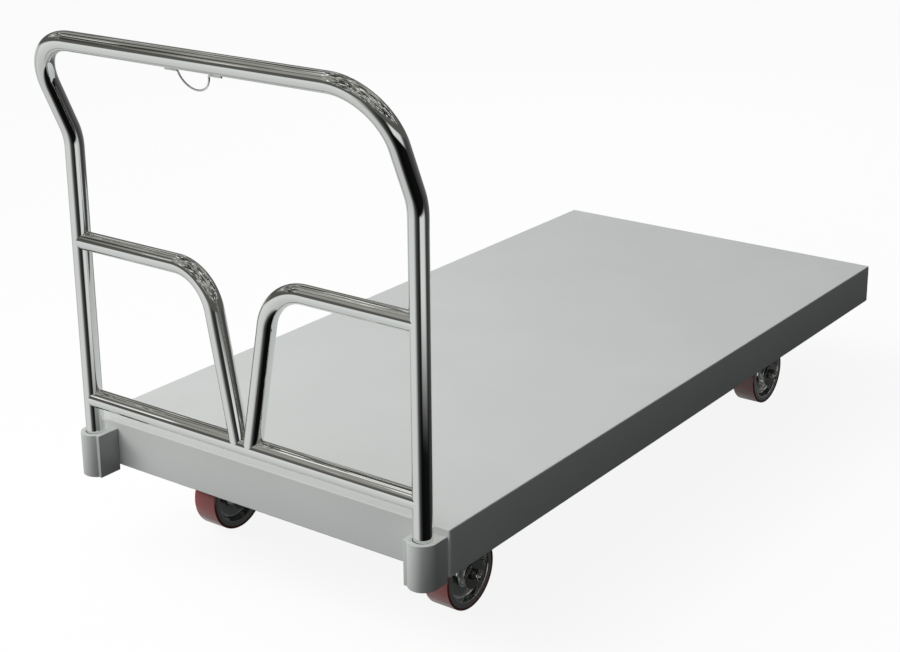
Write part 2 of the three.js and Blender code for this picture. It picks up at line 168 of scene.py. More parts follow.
SWIVEL = Vector((middle("front_right_top_plate").x, middle("front_right_top_plate").y, PLATE_HIGH.z))
AXLE = middle("front_right_tread") - SWIVEL
CROWN_TOP = -PLATE_THICKNESS - RACE_HEIGHT
CROWN_BOTTOM = CROWN_TOP - FORK_SHEET
FORK_OUTER = NUT_LOW.x - SWIVEL.x - GAP
FORK_INNER = FORK_OUTER - FORK_SHEET
WHEEL_RADIUS = (TREAD_HIGH.z - TREAD_LOW.z) / 2
CORE_RADIUS = (CORE_HIGH.z - CORE_LOW.z) / 2
TREAD_HALF = (TREAD_HIGH.x - TREAD_LOW.x) / 2
HUB_HALF = (CORE_HIGH.x - CORE_LOW.x) / 2
BEARING_RADIUS = (BEARING_HIGH.z - BEARING_LOW.z) / 2
BEARING_HALF = (BEARING_HIGH.x - BEARING_LOW.x) / 2

NODE_BODY = {
    node: body
    for body, nodes in frame["record"]["behaviour"]["bodies"].items()
    for node in nodes
}
CASTERS = {
    f"{end}_{side}": Vector((x * SWIVEL.x, y * SWIVEL.y, SWIVEL.z))
    for end, y in (("rear", -1), ("front", 1))
    for side, x in (("left", -1), ("right", 1))
}


# ---- Outlines and skins ----


def rounded(corners, steps=6):
    """Points of an outline whose (x, y, radius) corners are rounded, each by its own radius."""
    points = []
    for i, (x, y, radius) in enumerate(corners):
        corner = Vector((x, y))
        if not radius:
            points.append(corner)
            continue
        before = (Vector(corners[i - 1][:2]) - corner).normalized()
        after = (Vector(corners[(i + 1) % len(corners)][:2]) - corner).normalized()
        half_angle = before.angle(after) / 2
        centre = corner + (before + after).normalized() * (radius / math.sin(half_angle))
        start = corner + before * (radius / math.tan(half_angle)) - centre
        end = corner + after * (radius / math.tan(half_angle)) - centre
        first = math.atan2(start.y, start.x)
        turn = (math.atan2(end.y, end.x) - first + math.pi) % (2 * math.pi) - math.pi
        for step in range(steps + 1):
            angle = first + turn * step / steps
            points.append(centre + radius * Vector((math.cos(angle), math.sin(angle))))
    return points


def rectangle(width, length, radius):
    corners = ((-1, -1), (1, -1), (1, 1), (-1, 1))
    return rounded([(x * width / 2, y * length / 2, radius) for x, y in corners])


def circle(radius, count):
    angles = [2 * math.pi * i / count for i in range(count)]
    return [Vector((radius * math.cos(a), radius * math.sin(a))) for a in angles]


def along(axis, u, v, w):
    """The point at (u, v) across an axis and w along it."""
    return {"X": Vector((w, u, v)), "Y": Vector((u, w, v)), "Z": Vector((u, v, w))}[axis]


def skin(rings, closed=False):
    """Points and faces over rings of equal length. The end rings are filled unless the skin is closed."""
    count = len(rings[0])
    points = [point for ring in rings for point in ring]
    faces = []
    for i in range(len(rings) if closed else len(rings) - 1):
        here = i * count
        there = (i + 1) % len(rings) * count
        for j in range(count):
            k = (j + 1) % count
            faces.append((here + j, here + k, there + k, there + j))
    if not closed:
        faces.append(tuple(reversed(range(count))))
        faces.append(tuple(range(len(points) - count, len(points))))
    return points, faces


def solid(name, points, faces):
    mesh = bpy.data.meshes.new(name)
    mesh.from_pydata([tuple(point * METRES) for point in points], [], faces)
    work = bmesh.new()
    work.from_mesh(mesh)
    bmesh.ops.remove_doubles(work, verts=work.verts, dist=1e-7)
    bmesh.ops.delete(work, geom=[edge for edge in work.edges if not edge.link_faces], context="EDGES")
    bmesh.ops.recalc_face_normals(work, faces=work.faces)
    work.to_mesh(mesh)
    work.free()
    made = bpy.data.objects.new(name, mesh)
    bpy.context.scene.collection.objects.link(made)
    return made


def prism(name, outline, low, high, axis="Z"):
    rings = [[along(axis, point.x, point.y, level) for point in outline] for level in (low, high)]
    return solid(name, *skin(rings))


def turned(name, profile, axis="Z", segments=96):
    """A solid of revolution. The profile is a closed outline of (radius, distance along the axis) points, or
    a function that gives one for each angle."""
    rings = []
    for i in range(segments):
        angle = 2 * math.pi * i / segments
        outline = profile(angle) if callable(profile) else profile
        rings.append([along(axis, r * math.cos(angle), r * math.sin(angle), w) for r, w in outline])
    return solid(name, *skin(rings, closed=True))


def swept(name, stations, radius, bore=0, sides=48):
    """A round bar, or a tube, along (point, direction) stations. The radius may depend on the station."""
    normal = stations[0][1].orthogonal().normalized()
    outer = []
    inner = []
    for number, (point, direction) in enumerate(stations):
        normal = (normal - direction * normal.dot(direction)).normalized()
        across = direction.cross(normal)
        reach = radius(number) if callable(radius) else radius
        outer.append([point + normal * c.x + across * c.y for c in circle(reach, sides)])
        inner.append([point + normal * c.x + across * c.y for c in circle(bore, sides)])
    if bore:
        return solid(name, *skin(outer + inner[::-1], closed=True))
    return solid(name, *skin(outer))


def bent(corners, step=3 * DEGREES):
    """Stations of a path through (point, bend radius) corners."""
    stations = []
    for i, (corner, bend) in enumerate(corners):
        before = (corner - corners[i - 1][0]).normalized() if i else None
        after = (corners[i + 1][0] - corner).normalized() if i < len(corners) - 1 else None
        if before is None or after is None:
            stations.append((corner, before or after))
            continue
        if not bend:
            stations.append((corner, (before + after).normalized()))
            continue
        angle = before.angle(after)
        start = corner - before * (bend * math.tan(angle / 2))
        inward = (after - before * before.dot(after)).normalized()
        steps = math.ceil(angle / step)
        for number in range(steps + 1):
            turn = angle * number / steps
            point = start + before * (bend * math.sin(turn)) + inward * (bend * (1 - math.cos(turn)))
            stations.append((point, before * math.cos(turn) + inward * math.sin(turn)))
    return stations


# ---- Changes to a mesh ----


def apply_modifiers(piece):
    evaluated = piece.evaluated_get(bpy.context.evaluated_depsgraph_get())
    mesh = bpy.data.meshes.new_from_object(evaluated)
    piece.modifiers.clear()
    piece.data = mesh


def combine(piece, operation, *tools):
    for tool in tools:
        step = piece.modifiers.new(operation, "BOOLEAN")
        step.operation = operation
        step.object = tool
        step.solver = "EXACT"
    apply_modifiers(piece)
    for tool in tools:
        bpy.data.objects.remove(tool)
    work = bmesh.new()
    work.from_mesh(piece.data)
    bmesh.ops.remove_doubles(work, verts=work.verts, dist=1e-6)
    bmesh.ops.dissolve_limit(work, angle_limit=0.2 * DEGREES, verts=work.verts, edges=work.edges)
    work.to_mesh(piece.data)
    work.free()
    return piece


def soften(piece, width, segments=3, angle=30):
    """Rounds every edge sharper than the angle, in degrees."""
    step = piece.modifiers.new("rounding", "BEVEL")
    step.width = width * METRES
    step.segments = segments
    step.limit_method = "ANGLE"
    step.angle_limit = angle * DEGREES
    apply_modifiers(piece)
    return piece


def shade(piece, material, angle=32):
    piece.data.shade_smooth()
    piece.data.set_sharp_from_angle(angle=angle * DEGREES)
    piece.data.materials.clear()
    piece.data.materials.append(material)
    return piece


def move(piece, place):
    piece.data.transform(Matrix.Translation(place * METRES))
    return piece


def merge(name, pieces):
    """One piece made of several closed solids, which keep their materials."""
    mesh = bpy.data.meshes.new(name)
    work = bmesh.new()
    for piece in pieces:
        material = piece.data.materials[0]
        if material.name not in mesh.materials:
            mesh.materials.append(material)
        first = len(work.faces)
        work.from_mesh(piece.data)
        work.faces.ensure_lookup_table()
        for face in work.faces[first:]:
            face.material_index = mesh.materials.find(material.name)
        bpy.data.objects.remove(piece)
    work.to_mesh(mesh)
    work.free()
    made = bpy.data.objects.new(name, mesh)
    bpy.context.scene.collection.objects.link(made)
    return made


def stand_for(piece, node):
    """The piece is shown in place of the CAD node, on the same body."""
    piece.visible_shadow = NODE_BODY[node] != "handle"
    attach(piece, NODE_BODY[node])
    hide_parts(node)
    return piece


def add_to(piece, body):
    """The piece has no CAD node of its own."""
    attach(piece, body)
    return piece


# ---- Materials ----


class Tree:
    """Short calls that build one node tree."""

    def __init__(self, tree):
        self.tree = tree
        tree.nodes.clear()

    def add(self, kind, inputs=None, **settings):
        node = self.tree.nodes.new("ShaderNode" + kind)
        for name, value in settings.items():
            setattr(node, name, value)
        for name, value in (inputs or {}).items():
            if isinstance(value, bpy.types.NodeSocket):
                self.tree.links.new(value, node.inputs[name])
            else:
                node.inputs[name].default_value = value
        return node

    def math(self, operation, first, second=0.0):
        return self.add("Math", {0: first, 1: second}, operation=operation).outputs[0]

    def spread(self, value, low, high, to_low=0.0, to_high=1.0, smooth=False):
        """The value, mapped from one range to another and kept inside it."""
        inputs = {"Value": value, "From Min": low, "From Max": high, "To Min": to_low, "To Max": to_high}
        kind = "SMOOTHSTEP" if smooth else "LINEAR"
        return self.add("MapRange", inputs, interpolation_type=kind).outputs[0]

    def mix(self, factor, first, second, blend="MIX"):
        inputs = {"Factor": factor, 6: first, 7: second}
        return self.add("Mix", inputs, data_type="RGBA", blend_type=blend).outputs[2]

    def neutral(self, level):
        """A grey of the given level."""
        return self.add("CombineColor", {0: level, 1: level, 2: level}).outputs[0]

    def noise(self, scale, detail=3.0, stretch=(1, 1, 1), distortion=0.0):
        place = self.add("TexCoord").outputs["Object"]
        place = self.add("Mapping", {"Vector": place, "Scale": stretch}).outputs[0]
        inputs = {"Vector": place, "Scale": scale, "Detail": detail, "Distortion": distortion}
        return self.add("TexNoise", inputs).outputs["Fac"]

    def edge(self, radius, strength=4.0):
        """1 on an edge that is sharper than the radius, in millimetres, and 0 away from one."""
        soft = self.add("Bevel", {"Radius": radius * METRES}, samples=4).outputs[0]
        flat = self.add("NewGeometry").outputs["Normal"]
        same = self.add("VectorMath", {0: soft, 1: flat}, operation="DOT_PRODUCT").outputs["Value"]
        return self.spread(self.math("MULTIPLY", self.math("SUBTRACT", 1.0, same), strength), 0.05, 1.0)


def grey(level, tint=(1.0, 1.0, 1.0)):
    return tuple(level * t for t in tint) + (1.0,)


CLOUDS_PER_METRE = 5
SCRATCHES_PER_METRE = 60
CHIPS_PER_METRE = 140


def finish(name, colour, rough, metal=0.0, cloud=0.05, grain=(900, 0.01), scuff=0.05, edge_wear_and_highlight=None, **more):
    """A procedural surface: a colour with soft clouds, fine scratches in its roughness, a grain in its bump,
    as (features to a metre, depth in millimetres), and another colour on its sharp edges: wear, and on the
    deck and tread a painted highlight."""
    material = bpy.data.materials.new(name)
    material.use_nodes = True
    tree = Tree(material.node_tree)
    clouds = tree.spread(tree.noise(CLOUDS_PER_METRE, 4.0), 0.3, 0.7, 1 - cloud, 1 + cloud)
    base = tree.mix(1.0, colour, tree.neutral(clouds), "MULTIPLY")
    scratches = tree.noise(SCRATCHES_PER_METRE, 6.0, stretch=(1.0, 9.0, 4.0), distortion=0.6)
    roughness = tree.spread(scratches, 0.35, 0.75, rough - scuff, rough + scuff)
    if edge_wear_and_highlight:
        # The edge colour is wear; on the deck's paint and the tread it is lighter and also a painted
        # highlight.
        edge_wear_and_highlight_colour, radius, amount = edge_wear_and_highlight
        breakup = tree.spread(tree.noise(CHIPS_PER_METRE, 5.0), 0.42, 0.6)
        wear_and_highlight_mask = tree.math("MULTIPLY", tree.math("MULTIPLY", tree.edge(radius), breakup), amount)
        base = tree.mix(wear_and_highlight_mask, base, edge_wear_and_highlight_colour)
    per_metre, depth = grain
    height = tree.noise(per_metre, 2.0)
    bump = tree.add("Bump", {"Height": height, "Distance": depth * METRES, "Strength": 1.0}).outputs[0]
    inputs = {"Base Color": base, "Roughness": roughness, "Metallic": metal, "Normal": bump}
    shader = tree.add("BsdfPrincipled", {**inputs, **more})
    tree.add("OutputMaterial", {"Surface": shader.outputs[0]})
    return material


def deck_paint():
    # The lighter edge colour is partly wear and partly a painted highlight along the deck's folds and
    # corners.
    edge = grey(0.66, (0.98, 1.0, 1.0))
    colour = grey(0.56, (0.975, 1.0, 0.995))
    return finish("deck_paint", colour, 0.42, cloud=0.02, grain=(700, 0.012), edge_wear_and_highlight=(edge, 0.8, 0.5))


def under_paint():
    edge = grey(0.40)
    return finish("under_paint", grey(0.46, (0.975, 1.0, 0.995)), 0.5, cloud=0.1, edge_wear_and_highlight=(edge, 1.0, 0.6))


def socket_paint():
    edge = grey(0.60, (0.97, 1.0, 0.99))
    colour = grey(0.47, (0.965, 1.0, 0.985))
    return finish("socket_paint", colour, 0.42, grain=(350, 0.02), edge_wear_and_highlight=(edge, 1.0, 0.5))


def chrome():
    colour = grey(0.83, (0.985, 1.0, 0.99))
    return finish("chrome", colour, 0.03, 1.0, cloud=0.02, grain=(45, 0.003), scuff=0.015)


def weld_chrome():
    return finish("weld_chrome", grey(0.74), 0.13, 1.0, cloud=0.12, grain=(900, 0.05), scuff=0.05)


def zinc():
    edge = grey(0.75)
    colour = grey(0.50, (1.0, 1.0, 0.97))
    return finish("zinc", colour, 0.2, 1.0, cloud=0.12, grain=(260, 0.006), edge_wear_and_highlight=(edge, 0.6, 0.6))


def core_metal():
    edge = grey(0.7)
    colour = grey(0.78, (0.97, 1.0, 1.0))
    return finish("core_metal", colour, 0.16, 1.0, cloud=0.1, grain=(220, 0.006), edge_wear_and_highlight=(edge, 0.5, 0.5))


def red_tread():
    # The lighter red on the edges is partly wear and partly a painted highlight on the tread's lips.
    edge = (0.46, 0.02, 0.02, 1.0)
    colour = (0.33, 0.014, 0.014, 1.0)
    gloss = {"Coat Weight": 0.8, "Coat Roughness": 0.12}
    return finish("red_tread", colour, 0.3, cloud=0.12, grain=(300, 0.006), edge_wear_and_highlight=(edge, 1.0, 0.5), **gloss)


def bearing_steel():
    return finish("bearing_steel", grey(0.55), 0.3, 1.0, cloud=0.15, grain=(700, 0.02))


def black_nylon():
    return finish("black_nylon", grey(0.05), 0.45, cloud=0.15, grain=(800, 0.03))


PAINTS = (deck_paint, under_paint, socket_paint)
METALS = (chrome, weld_chrome, zinc, core_metal, bearing_steel)
PLASTICS = (red_tread, black_nylon)
LOOKS = {make.__name__: make() for make in (*PAINTS, *METALS, *PLASTICS)}


# ---- Deck ----


def skirt_ring(inset, height):
    """One level ring of the deck's sheet, a given distance inside its outer face."""
    width = 2 * (DECK_HIGH.x - inset)
    length = 2 * (DECK_HIGH.y - inset)
    corner = max(DECK_CORNER - inset, 0.6)
    return [Vector((point.x, point.y, height)) for point in rectangle(width, length, corner)]


def deck_pan():
    """The pan's sheet, from the middle of its top, round the skirt and its turned-in lip, and back."""
    bottom = DECK_LOW.z
    top_edge = SKIRT_LIP + 10
    section = rounded([
        (top_edge, 0, 0),
        (0, 0, SKIRT_BEND),
        (0, bottom, SKIRT_BEND),
        (SKIRT_LIP, bottom, CUT_EDGE),
        (SKIRT_LIP, bottom + SHEET, CUT_EDGE),
        (SHEET, bottom + SHEET, 1),
        (SHEET, -SHEET, 1),
        (top_edge, -SHEET, 0),
    ])
    pan = solid("fine_deck_pan", *skin([skirt_ring(point.x, point.y) for point in section]))
    combine(pan, "DIFFERENCE", *mitre_slots(bottom))
    stand_for(shade(pan, LOOKS["deck_paint"], 40), "deck_pan")


def mitre_slots(bottom):
    """The gaps between the turned-in lips at the deck's corners."""
    width = 1.2
    closed_corner = 6
    slots = []
    for x in (-1, 1):
        for y in (-1, 1):
            slot = prism("slot", rectangle(2 * SKIRT_LIP, width, 0), bottom - 1, bottom + SHEET + 1)
            slot.data.transform(Matrix.Rotation(x * y * 45 * DEGREES, 4, "Z"))
            inset = closed_corner + SKIRT_LIP * math.sqrt(0.5)
            slots.append(move(slot, Vector((x * (DECK_HIGH.x - inset), y * (DECK_HIGH.y - inset), 0))))
    return slots


def channel_outline(width, bottom, top, wall):
    """An upright U with bent corners."""
    half = width / 2
    return rounded([
        (-half, top, CUT_EDGE),
        (-half, bottom, 1.7 * wall),
        (half, bottom, 1.7 * wall),
        (half, top, CUT_EDGE),
        (half - wall, top, CUT_EDGE),
        (half - wall, bottom + wall, 0.8 * wall),
        (wall - half, bottom + wall, 0.8 * wall),
        (wall - half, top, CUT_EDGE),
    ])


def channels():
    """The two channels across the deck and the two stiffeners along it."""
    caster_width = CHANNEL_HIGH.y - CHANNEL_LOW.y
    across = channel_outline(caster_width, CHANNEL_LOW.z, CHANNEL_HIGH.z, CHANNEL_WALL)
    for end in ("rear", "front"):
        node = f"{end}_caster_channel"
        piece = prism(f"fine_{node}", across, CHANNEL_LOW.x, CHANNEL_HIGH.x, "X")
        soften(piece, CUT_EDGE, 2, 60)
        move(piece, Vector((0, middle(node).y, 0)))
        stand_for(shade(piece, LOOKS["under_paint"]), node)
    stiffener_width = STIFFENER_HIGH.x - STIFFENER_LOW.x
    lengthwise = channel_outline(stiffener_width, STIFFENER_LOW.z, STIFFENER_HIGH.z, SHEET)
    for side in ("left", "right"):
        node = f"{side}_deck_stiffener"
        piece = prism(f"fine_{node}", lengthwise, STIFFENER_LOW.y, STIFFENER_HIGH.y, "Y")
        soften(piece, CUT_EDGE, 2, 60)
        move(piece, Vector((middle(node).x, 0, 0)))
        stand_for(shade(piece, LOOKS["under_paint"]), node)


# ---- Handle sockets ----


def socket_outline(side):
    """Seen from above with the post at the origin: a rounded front, and a block towards the centre line."""
    radius = POST_Y - SOCKET_LOW.y
    back = SOCKET_HIGH.y - POST_Y
    block = back + GAP - SOCKET_BLOCK_DEPTH
    last = -math.pi - math.asin(block / radius)
    steps = 40
    angles = [last * i / steps for i in range(steps + 1)]
    front = [Vector((radius * math.cos(a), radius * math.sin(a))) for a in angles]
    corners = [(-radius, block, 1.0), (-radius, back, 0.5), (radius, back, 0.5), (0, -radius, 0)]
    return [Vector((side * point.x, point.y)) for point in front + rounded(corners)[:-1]]


def handle_socket(name, side):
    node = f"{name}_handle_socket"
    low = SOCKET_LOW.z
    high = SOCKET_HIGH.z
    body = prism(f"fine_{node}", socket_outline(side), low, high)
    bore = prism("bore", circle(SOCKET_BORE, 72), low + SOCKET_FLOOR, high + 1)
    drain = prism("drain", circle(DRAIN_RADIUS, 32), low - 1, low + SOCKET_FLOOR + 1)
    combine(body, "DIFFERENCE", bore, drain)
    soften(body, 0.9, 3, 50)
    move(body, Vector((side * POST_X, POST_Y, 0)))
    stand_for(shade(body, LOOKS["socket_paint"], 40), node)


# ---- Push handle ----


def main_tube():
    bend_z = TOP_BAR_Z - (POST_Y - TOP_BAR_Y) / math.tan(LEAN)
    half = [
        (Vector((-POST_X, POST_Y, MAIN_LOW.z)), 0),
        (Vector((-POST_X, POST_Y, bend_z)), HANDLE_BEND),
        (Vector((-POST_X, TOP_BAR_Y, TOP_BAR_Z)), HANDLE_BEND),
    ]
    other = [(Vector((-point.x, point.y, point.z)), bend) for point, bend in reversed(half)]
    tube = swept("fine_handle_main_tube", bent(half + other), TUBE_RADIUS, TUBE_BORE)
    stand_for(shade(tube, LOOKS["chrome"], 45), "handle_main_tube")


def post_cutters():
    """Bars a little thinner than the posts, which cut saddle ends on the tubes that are welded to them."""
    bar = circle(TUBE_RADIUS - SADDLE_BITE, 96)
    return [move(prism("bar", bar, 0, 2 * BRACE_Z), Vector((x, POST_Y, 0))) for x in (-POST_X, POST_X)]


def lower_rail():
    ends = [(Vector((x, POST_Y, RAIL_Z)), 0) for x in (-POST_X, POST_X)]
    rail = swept("fine_handle_lower_rail", bent(ends), TUBE_RADIUS, TUBE_BORE)
    combine(rail, "DIFFERENCE", *post_cutters())
    stand_for(shade(rail, LOOKS["chrome"], 45), "handle_lower_rail")


def brace_corners(side):
    return [
        (Vector((side * POST_X, POST_Y, BRACE_Z)), 0),
        (Vector((side * BRACE_CORNER_X, POST_Y, BRACE_Z)), BRACE_BEND),
        (Vector((side * BRACE_FOOT_X, POST_Y, RAIL_Z)), 0),
    ]


def brace(name, side):
    """A brace, cut off at the deck's centre line, where it meets the other one."""
    node = f"{name}_handle_brace"
    tube = swept(f"fine_{node}", bent(brace_corners(side)), TUBE_RADIUS, TUBE_BORE)
    reach = 2 * TUBE_RADIUS
    beyond = prism("beyond", rectangle(2 * reach, 2 * reach, 0), 0, BRACE_Z)
    move(beyond, Vector((-side * reach, POST_Y, 0)))
    rail = prism("rail", circle(TUBE_RADIUS - SADDLE_BITE, 96), -reach, reach, "X")
    move(rail, Vector((0, POST_Y, RAIL_Z)))
    combine(tube, "DIFFERENCE", beyond, rail, *post_cutters())
    stand_for(shade(tube, LOOKS["chrome"], 45), node)


def wire_hook():
    """A wire loop whose two feet lie under the top bar. It leans towards the deck."""
    centre = (HOOK_LOW.x + HOOK_HIGH.x) / 2
    top = Vector((centre, TOP_BAR_Y, HOOK_HIGH.z - WIRE_RADIUS))
    rise = HOOK_RADIUS - HOOK_DEPTH
    half_angle = math.acos(rise / HOOK_RADIUS)
    half_chord = HOOK_RADIUS * math.sin(half_angle)
    foot = (HOOK_HIGH.x - HOOK_LOW.x) / 2

    def hanging(x, down):
        return top + Vector((x, down * math.sin(HOOK_LEAN), -down * math.cos(HOOK_LEAN)))

    steps = 40
    angles = [half_angle * (2 * i / steps - 1) for i in range(1, steps)]
    loop = [(hanging(HOOK_RADIUS * math.sin(a), HOOK_RADIUS * math.cos(a) - rise), 0) for a in angles]
    left = [(hanging(-foot, 0), 0), (hanging(-half_chord, 0), HOOK_CORNER)]
    right = [(hanging(half_chord, 0), HOOK_CORNER), (hanging(foot, 0), 0)]
    hook = swept("fine_handle_wire_hook", bent(left + loop + right, 12 * DEGREES), WIRE_RADIUS, sides=20)
    stand_for(shade(hook, LOOKS["chrome"], 45), "handle_wire_hook")
    hook_welds(top, foot)


def hook_welds(top, foot):
    """A rippled bead between each foot of the hook and the top bar."""
    first, last = 2, 14
    tacks = []
    for x in (-foot, foot):
        inward = -math.copysign(1, x)
        run = [top + Vector((x + inward * step, 0, WIRE_RADIUS)) for step in range(first, last)]
        stations = [(point, Vector((inward, 0, 0))) for point in run]
        tack = swept("tack", stations, ripple, sides=12)
        tacks.append(shade(tack, LOOKS["weld_chrome"], 60))
    add_to(merge("hook_welds", tacks), "handle")


def ripple(number):
    """The radius of a weld bead at one of its stations."""
    return 1.3 + 0.25 * math.sin(number * 1.9)


# ---- Fasteners, each with its bearing face at zero and its head below ----


def hexagon(flats, angle):
    """Distance from a hexagon's centre to its side, at an angle."""
    turn = (angle + 30 * DEGREES) % (60 * DEGREES) - 30 * DEGREES
    return flats / 2 / math.cos(turn)


def hex_solid(name, flats, low, high, hole=0.0, axis="Z", both=False):
    """A hexagonal head or nut, chamfered at its low end or at both ends."""
    crown = 0.93 * flats / 2
    broken_edge = 0.3

    def profile(angle):
        corner = hexagon(flats, angle)
        drop = (corner - crown) * math.tan(30 * DEGREES)
        upper = [(crown, high), (corner, high - drop)]
        if not both:
            upper = [(corner - broken_edge, high), (corner, high - broken_edge)]
        return [(hole, high), *upper, (corner, low + drop), (crown, low), (hole, low)]

    return shade(turned(name, profile, axis, 72), LOOKS["zinc"], 20)


def rod(name, radius, low, high, thread_from, pitch=1.6, axis="Z"):
    """A bolt's shank, with a screw thread from one height to its end."""
    depth = 0.07 * radius
    broken_edge = 0.2
    thread_to = high - 0.8
    tip = radius - 2 * depth - 0.6
    start = [(0, low), (radius - broken_edge, low), (radius, low + broken_edge), (radius, thread_from)]
    steps = math.ceil((thread_to - thread_from) / (pitch / 6))

    def profile(angle):
        thread = []
        for i in range(1, steps + 1):
            height = thread_from + (thread_to - thread_from) * i / steps
            turn = 2 * math.pi * height / pitch - angle
            thread.append((radius - depth * (1 + math.cos(turn)), height))
        return [*start, *thread, (tip, high), (0, high)]

    return shade(turned(name, profile, axis, 40), LOOKS["zinc"], 30)


def washer(name, hole, radius, low, high, axis="Z"):
    outline = rounded([(hole, low, 0), (radius, low, 0.3), (radius, high, 0.3), (hole, high, 0)], 3)
    return shade(turned(name, outline, axis, 64), LOOKS["zinc"], 40)


# ---- Casters, each about its swivel axis with the top of its plate at zero ----


def bolt_places():
    return [(x * BOLT_SPACING[0] / 2, y * BOLT_SPACING[1] / 2) for x in (-1, 1) for y in (-1, 1)]


def top_plate():
    """A flat plate with slotted bolt holes, and the pressed cover of the ball race below it."""
    width = PLATE_HIGH.x - PLATE_LOW.x
    length = PLATE_HIGH.y - PLATE_LOW.y
    plate = prism("plate", rectangle(width, length, PLATE_CORNER), -PLATE_THICKNESS, 0)
    slot_width = 2.6 * BOLT_RADIUS
    slot_length = slot_width + 5
    holes = []
    for x, y in bolt_places():
        outline = rectangle(slot_length, slot_width, 0.48 * slot_width)
        hole = prism("hole", outline, -PLATE_THICKNESS - 1, 1)
        holes.append(move(hole, Vector((x, y, 0))))
    combine(plate, "DIFFERENCE", *holes)
    soften(plate, 0.7, 3, 50)
    middle_hole = KINGPIN_RADIUS + GAP
    inner = middle_hole + 2
    shoulder = RACE_RADIUS - 3.5
    outline = rounded([
        (inner, -PLATE_THICKNESS + 0.5, 0),
        (shoulder, -PLATE_THICKNESS + 0.5, 0),
        (shoulder, -PLATE_THICKNESS - 0.6, 0.5),
        (RACE_RADIUS, -PLATE_THICKNESS - 1.8, 2),
        (RACE_RADIUS, CROWN_TOP + GAP, 0.8),
        (inner, CROWN_TOP + GAP, 0),
    ])
    combine(plate, "UNION", turned("race", outline))
    bore = prism("bore", circle(middle_hole, 48), CROWN_TOP - 1, 1)
    return shade(combine(plate, "DIFFERENCE", bore), LOOKS["zinc"], 40)


def plate_bolt():
    bearing = -PLATE_THICKNESS - GAP
    channel_floor = CHANNEL_WALL + GAP
    head = hex_solid("head", BOLT_FLATS, bearing - BOLT_HEAD, bearing)
    shank = rod("shank", BOLT_RADIUS, bearing - 1, channel_floor + BOLT_SPARE - GAP, channel_floor)
    return shade(combine(head, "UNION", shank), LOOKS["zinc"], 20)


def plate_nuts():
    """The washers and nuts of the plate bolts, on the channel's floor."""
    channel_floor = CHANNEL_WALL + GAP
    seat = channel_floor + BOLT_WASHER
    pieces = []
    for x, y in bolt_places():
        disc = washer("washer", BOLT_RADIUS + GAP, 1.75 * BOLT_RADIUS, channel_floor, seat)
        nut = hex_solid("nut", BOLT_FLATS, seat + 0.05, seat + BOLT_NUT, BOLT_RADIUS, both=True)
        pieces += [move(piece, Vector((x, y, 0))) for piece in (disc, nut)]
    return merge("plate_nuts", pieces)


def kingpin():
    bearing = CROWN_BOTTOM - GAP
    head = hex_solid("head", KINGPIN_FLATS, bearing - KINGPIN_HEAD, bearing)
    shank = rod("shank", KINGPIN_RADIUS, bearing - 1, -GAP, -PLATE_THICKNESS)
    return shade(combine(head, "UNION", shank), LOOKS["zinc"], 20)


def fork_outline():
    """The fork's side view: a crown, and legs that lead back to the axle."""
    end_y = LEG_END_LEAD + AXLE.y
    straight = LEG_STRAIGHT + AXLE.z
    edge = CROWN_TOP - CROWN_EDGE
    steps = 24
    angles = [-math.pi * i / steps for i in range(steps + 1)]
    arc = [Vector((math.cos(a), math.sin(a))) * LEG_END_RADIUS for a in angles]
    end = [Vector((end_y, AXLE.z)) + point for point in arc]
    corners = rounded([
        (end_y - LEG_END_RADIUS, straight, 14),
        (-FORK_HALF_CROWN, edge, 10),
        (-FORK_HALF_CROWN, CROWN_TOP, 0),
        (FORK_HALF_CROWN, CROWN_TOP, 0),
        (FORK_HALF_CROWN, edge, 10),
        (end_y + LEG_END_RADIUS, straight, 14),
    ])
    return end + corners


def fork():
    """One sheet bent to a U, cut to its side view, with the lower race pressed up out of its crown."""
    bottom = AXLE.z - LEG_END_RADIUS
    outer = FORK_OUTER
    inner = FORK_INNER
    section = rounded([
        (-outer, bottom, 0),
        (-outer, CROWN_TOP, FORK_OUTER_BEND),
        (outer, CROWN_TOP, FORK_OUTER_BEND),
        (outer, bottom, 0),
        (inner, bottom, 0),
        (inner, CROWN_BOTTOM, FORK_INNER_BEND),
        (-inner, CROWN_BOTTOM, FORK_INNER_BEND),
        (-inner, bottom, 0),
    ])
    reach = LEG_END_RADIUS - AXLE.y + 1
    piece = prism("fork", section, -reach, reach, "Y")
    combine(piece, "INTERSECT", prism("side", fork_outline(), -outer - 1, outer + 1, "X"))
    race = prism("race", circle(RACE_RADIUS, 96), CROWN_BOTTOM + 0.4, CROWN_TOP)
    combine(piece, "UNION", race)
    kingpin_hole = prism("hole", circle(KINGPIN_RADIUS + GAP, 48), CROWN_BOTTOM - 1, CROWN_TOP + 1)
    axle_hole = move(prism("hole", circle(AXLE_RADIUS + GAP, 48), -outer - 1, outer + 1, "X"), AXLE)
    combine(piece, "DIFFERENCE", kingpin_hole, axle_hole)
    soften(piece, 0.7, 3, 40)
    return shade(piece, LOOKS["zinc"], 35)


def axle_bolt():
    bearing = -FORK_OUTER - GAP
    head = hex_solid("head", AXLE_FLATS, bearing - AXLE_HEAD, bearing, axis="X")
    end = FORK_OUTER + AXLE_NUT + 1.5 + GAP
    shank = rod("shank", AXLE_RADIUS, bearing - 1, end, FORK_OUTER + AXLE_NUT - 5, axis="X")
    return move(shade(combine(head, "UNION", shank), LOOKS["zinc"], 20), AXLE)


